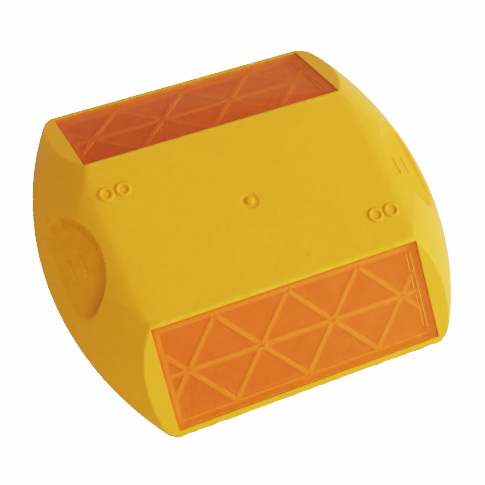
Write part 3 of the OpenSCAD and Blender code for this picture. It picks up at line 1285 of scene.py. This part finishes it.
    def prism_field(self, material: bpy.types.Material) -> bpy.types.NodeTree:
        """Builds the tree that stands a cube-corner prism on every point.

        Args:
            material: Finish of the prisms.

        Returns:
            The node tree, with the prism's sizes as named inputs.
        """
        sizes = {"Side": "Float", "Height": "Float", "Lean": "Float", "Turn": "Vector", "Seed": "Int"}
        tree = Growth("prism_field", **sizes)
        given = tree.given
        radius = tree.math("MULTIPLY", given["Side"], 1 / math.sqrt(3))
        shape = {"Vertices": 3, "Radius Bottom": radius, "Depth": given["Height"]}
        cone = tree.node("GeometryNodeMeshCone", shape).outputs["Mesh"]
        less = tree.math("MULTIPLY", given["Lean"], -1.0)
        spread = {"Min": tree.vector(X=less, Y=less), "Max": tree.vector(X=given["Lean"], Y=given["Lean"])}
        spread["Seed"] = given["Seed"]
        lean = tree.node("FunctionNodeRandomValue", spread, data_type="FLOAT_VECTOR").outputs["Value"]
        own = tree.node("GeometryNodeInputNamedAttribute", {"Name": "turn"}, data_type="FLOAT")
        spin = tree.vector(Z=own.outputs["Attribute"])
        total = tree.node("ShaderNodeVectorMath", {0: spin, 1: lean}, operation="ADD").outputs[0]
        local, world = (
            tree.node("FunctionNodeEulerToRotation", {0: turn}).outputs[0]
            for turn in (total, given["Turn"])
        )
        both = {"Rotation": world, "Rotate By": local}
        turned = tree.node("FunctionNodeRotateRotation", both, rotation_space="LOCAL").outputs[0]
        return tree.planted(material, Points=given["Geometry"], Instance=cone, Rotation=turned)

    def prisms(self) -> bpy.types.Object:
        """Builds and dresses the prism cells: thin plates with cube-corner prisms on them."""
        material = PrismFacets().material()
        bench = MeshBench()
        spots: list[Triple] = []
        face = self.cell_low - self.plate_t
        for outline in self.cells():
            bench.stack([self.loop(outline, self.cell_low), self.loop(outline, face)])
            spots += self.prism_points(outline)
        plates = self.cut(bench, "prism_plates", 30.0)
        flat = np.array(spots)
        points = self.placed(flat[:, :2], face + 0.02) * MM
        keep = points[:, 2] > (self.ledge + 0.3) * MM
        turns = flat[keep, 2] + (math.pi if self.end is End.REAR else 0.0) + math.pi / 6
        mesh = bpy.data.meshes.new("prism_spots")
        mesh.from_pydata(points[keep].tolist(), [], [])
        layer = mesh.attributes.new("turn", "FLOAT", "POINT")
        layer.data.foreach_set("value", turns.astype(np.float32))
        values = {
            "Side": self.prism_side * 0.985 * MM,
            "Height": self.prism_h * MM,
            "Lean": math.radians(2.0),
            "Turn": (-self.end.value * self.form.slope, 0.0, 0.0),
            "Seed": 11 + self.end.value,
        }
        prisms = grown(linked("prism_spots", mesh), self.prism_field(material), values)
        whole = merged(f"{self.end.word}_prisms", plates, prisms)
        return dressed(whole, material, "prism", f"{self.end.word}_prism_panels")

    def build(self) -> None:
        """Builds the reflector's three pieces."""
        self.lens()
        self.prisms()
        self.back()


def grown(
    obj: bpy.types.Object, tree: bpy.types.NodeTree, values: dict[str, Any]
) -> bpy.types.Object:
    """Runs a node tree on an object and keeps the result as a plain mesh.

    Args:
        obj: The object that the tree starts from; it is removed afterwards.
        tree: The node tree.
        values: Its inputs by name.

    Returns:
        A new object with the result.
    """
    modifier = obj.modifiers.new("grow", "NODES")
    modifier.node_group = tree
    for item in tree.interface.items_tree:
        if item.item_type == "SOCKET" and item.in_out == "INPUT" and item.name in values:
            modifier[item.identifier] = values[item.name]
    bpy.context.view_layer.update()
    graph = bpy.context.evaluated_depsgraph_get()
    mesh = bpy.data.meshes.new_from_object(obj.evaluated_get(graph), depsgraph=graph)
    name = obj.name + "_grown"
    obj.modifiers.remove(modifier)
    bpy.data.objects.remove(obj)
    return linked(name, mesh)


def levelled(obj: bpy.types.Object, height: float) -> bpy.types.Object:
    """Cuts off what lies below a height and closes the cut.

    Args:
        obj: A piece made of closed solids.
        height: Height of the cut in millimetres.

    Returns:
        The same object.
    """
    work = bmesh.new()
    work.from_mesh(obj.data)
    cut = bmesh.ops.bisect_plane(
        work,
        geom=[*work.verts, *work.edges, *work.faces],
        dist=1e-7,
        plane_co=(0, 0, height * MM),
        plane_no=(0, 0, 1),
        clear_inner=True,
    )
    rim = [item for item in cut["geom_cut"] if isinstance(item, bmesh.types.BMEdge)]
    bmesh.ops.holes_fill(work, edges=[edge for edge in rim if edge.is_boundary], sides=0)
    work.to_mesh(obj.data)
    work.free()
    obj.data.set_sharp_from_angle(angle=math.radians(24))
    return obj


def merged(name: str, *parts: bpy.types.Object) -> bpy.types.Object:
    """Joins plain mesh objects at the origin into one piece.

    Args:
        name: Name of the piece.
        parts: The objects; all of them are removed.

    Returns:
        The new object.
    """
    points: list[Any] = []
    faces: list[Any] = []
    smooth: list[bool] = []
    for part in parts:
        first = len(points)
        points += [v.co[:] for v in part.data.vertices]
        faces += [[first + i for i in f.vertices] for f in part.data.polygons]
        smooth += [f.use_smooth for f in part.data.polygons]
        bpy.data.objects.remove(part)
    mesh = bpy.data.meshes.new(name)
    mesh.from_pydata(points, [], faces)
    mesh.polygons.foreach_set("use_smooth", smooth)
    mesh.set_sharp_from_angle(angle=math.radians(40))
    return linked(name, mesh)


# ---- The filling ----


@dataclass
class Filling:
    """Resin core, glass-fibre mat and the grit bed that the adhesive grips."""

    form: Form = field(default_factory=Form)
    wall: float = 3.05
    end_y: float = 36.9
    bed_low: float = 0.34
    bed_high: float = 0.79
    grain: float = 0.62
    spacing: float = 1.25
    density: float = 6.0e5
    seed: int = 5

    def outline(self, inset: float) -> np.ndarray:
        """Outline of the base inside the casing, counter-clockwise, moved in by inset."""
        y = np.linspace(inset - self.end_y, self.end_y - inset, 60)
        right = np.column_stack([self.form.edge_x(y, self.wall + inset), y])
        return np.concatenate([right, -right])

    def bed(self) -> bpy.types.Object:
        """Builds the resin bed that holds the grains, with an uneven lower face."""
        spread = np.linspace(-1, 1, 48)
        y = spread[:, None] * np.ones((1, 48)) * self.end_y
        x = spread[None, :] * self.form.edge_x(y, self.wall)
        under = np.stack([x, y, self.bed_low + 0.12 * waves(x, y, 3.2, 9.0)], -1)
        over = np.stack([x, y, np.full_like(x, self.bed_high)], -1)
        bench = MeshBench()
        bench.sheet(under, flip=True)
        bench.sheet(over)
        for low, high in zip(rims(under), rims(over)):
            bench.sheet(np.stack([low, high]))
        return bench.build("grit_bed", 40.0)

    def scatter(self, material: bpy.types.Material) -> bpy.types.NodeTree:
        """Builds the tree that scatters grains over a face.

        Args:
            material: Finish of the grains.

        Returns:
            The node tree, with the grains' size and number as named inputs.
        """
        tree = Growth("grit_scatter", Density="Float", Spacing="Float", Grain="Float", Seed="Int")
        given = tree.given
        inputs = {"Mesh": given["Geometry"], "Distance Min": given["Spacing"]}
        inputs |= {"Density Max": given["Density"], "Seed": given["Seed"]}
        kind = "GeometryNodeDistributePointsOnFaces"
        points = tree.node(kind, inputs, distribute_method="POISSON").outputs["Points"]
        grain = tree.node("GeometryNodeMeshIcoSphere", {"Subdivisions": 1, "Radius": given["Grain"]})
        turn, size = (
            tree.node(
                "FunctionNodeRandomValue",
                {"Min": low, "Max": high, "Seed": given["Seed"]},
                data_type="FLOAT_VECTOR",
            ).outputs["Value"]
            for low, high in (((0, 0, 0), (6.28, 6.28, 6.28)), ((0.55, 0.5, 0.4), (1.25, 1.0, 0.85)))
        )
        return tree.planted(
            material, Points=points, Instance=grain.outputs["Mesh"], Rotation=turn, Scale=size
        )

    def grit(self) -> bpy.types.Object:
        """Builds and dresses the grit bed with its grains."""
        sand = SharpSand().material()
        ring = self.outline(0.7)
        flat = np.column_stack([ring, np.full(len(ring), self.bed_low + 0.20)])
        mesh = bpy.data.meshes.new("grit_field")
        mesh.from_pydata((flat * MM).tolist(), [], [list(range(len(flat)))])
        values = {"Density": self.density, "Spacing": self.spacing * MM}
        values |= {"Grain": self.grain * MM, "Seed": self.seed}
        grains = grown(linked("grit_field", mesh), self.scatter(sand), values)
        for vertex in grains.data.vertices:
            vertex.co.z = min(max(vertex.co.z, 0.02 * MM), self.bed_high * MM)
        return dressed(merged("grit", self.bed(), grains), sand, "grit", "base_grit")

    def build(self) -> None:
        """Dresses the core and the mat, and builds the grit bed."""
        nodes = frame["nodes"]
        dressed(nodes["potting_core"], FilledResin().material(), "resin")
        dressed(nodes["glass_mat"], FibreMat().material(), "glass_fibre")
        self.grit()


# ---- The studio ----


@dataclass(frozen=True)
class SoftBox:
    """A square studio light that looks at the object."""

    name: str
    azimuth: float
    elevation: float
    distance: float
    size: float
    power: float
    colour: Colour

    def build(self) -> None:
        """Builds the light."""
        data = bpy.data.lights.new(self.name, "AREA")
        data.shape, data.size = "SQUARE", self.size
        data.energy, data.color = self.power, self.colour
        lamp = linked(self.name, data)
        back = direction(self.azimuth, self.elevation)
        lamp.location = back * self.distance
        lamp.rotation_euler = (-back).to_track_quat("-Z", "Y").to_euler()


def direction(azimuth: float, elevation: float) -> Vector:
    """Direction from the object to a viewer; azimuth 0 stands on -Y and 90 on +X."""
    a, e = math.radians(azimuth), math.radians(elevation)
    return Vector((math.sin(a) * math.cos(e), -math.cos(a) * math.cos(e), math.sin(e)))


@dataclass
class Studio:
    """Pale floor, soft lights and the camera."""

    azimuth: float = -36.4
    elevation: float = 64.2
    roll: float = 15.8
    distance: float = 275.6
    aim: Triple = (-14.7, -2.5, 7.0)
    lens: float = 84.7
    shift_x: float = 0.099
    fill: float = 0.50
    sky_tint: Colour = (1.0, 0.94, 1.3)
    backdrop: float = 9.0
    reach: float = 3.0
    lights: tuple[SoftBox, ...] = (
        SoftBox("key", 72.0, 26.5, 0.60, 0.30, 3.6, (1.0, 0.96, 0.66)),
        SoftBox("front", -12.0, 32.0, 0.70, 0.26, 0.9, (1.0, 0.96, 0.66)),
    )

    def camera(self) -> None:
        """Builds the camera."""
        back = direction(self.azimuth, self.elevation)
        right = Vector((0, 0, 1)).cross(back).normalized()
        up = back.cross(right)
        turn = math.radians(self.roll)
        rolled = right * math.cos(turn) + up * math.sin(turn)
        over = up * math.cos(turn) - right * math.sin(turn)
        data = bpy.data.cameras.new("camera")
        data.sensor_width, data.lens, data.shift_x = 36.0, self.lens, self.shift_x
        data.clip_start, data.clip_end = 0.01, 20.0
        camera = linked("camera", data)
        place = Matrix((rolled, over, back)).transposed().to_4x4()
        place.translation = (Vector(self.aim) + back * self.distance) * MM
        camera.matrix_world = place
        bpy.context.scene.camera = camera

    def floor(self) -> None:
        """Builds the paper that the object stands on."""
        mesh = bpy.data.meshes.new("studio_floor")
        corners = [(-1, -1), (1, -1), (1, 1), (-1, 1)]
        points = [(x * self.reach, y * self.reach, -0.05 * MM) for x, y in corners]
        mesh.from_pydata(points, [], [(0, 1, 2, 3)])
        mesh.materials.append(StudioPaper().material())
        linked("studio_floor", mesh)

    def sky(self) -> None:
        """Lights the room evenly from all round, with white behind the object."""
        world = bpy.data.worlds.new("studio")
        world.use_nodes = True
        room = Wiring(world.node_tree)
        even, white = (
            room.node("ShaderNodeBackground", {"Color": colour, "Strength": strength}).outputs[0]
            for colour, strength in ((self.sky_tint, self.fill), ((1.0, 1.0, 1.0), self.backdrop))
        )
        room.node("ShaderNodeOutputWorld", {"Surface": room.mixed(room.ray("Camera"), even, white)})
        bpy.context.scene.world = world

    def build(self) -> None:
        """Builds the studio and sets how light becomes colour."""
        self.floor()
        self.sky()
        self.camera()
        for light in self.lights:
            light.build()
        view = bpy.context.scene.view_settings
        view.view_transform = "Filmic"
        view.look = "Very High Contrast"


def main() -> None:
    """Builds the marker piece by piece, then the studio round it."""
    logging.basicConfig(level=logging.INFO, format="%(name)s %(message)s")
    Casing().build()
    for end in End:
        Reflector(end).build()
    Filling().build()
    Studio().build()


if __name__ == "__main__":
    main()
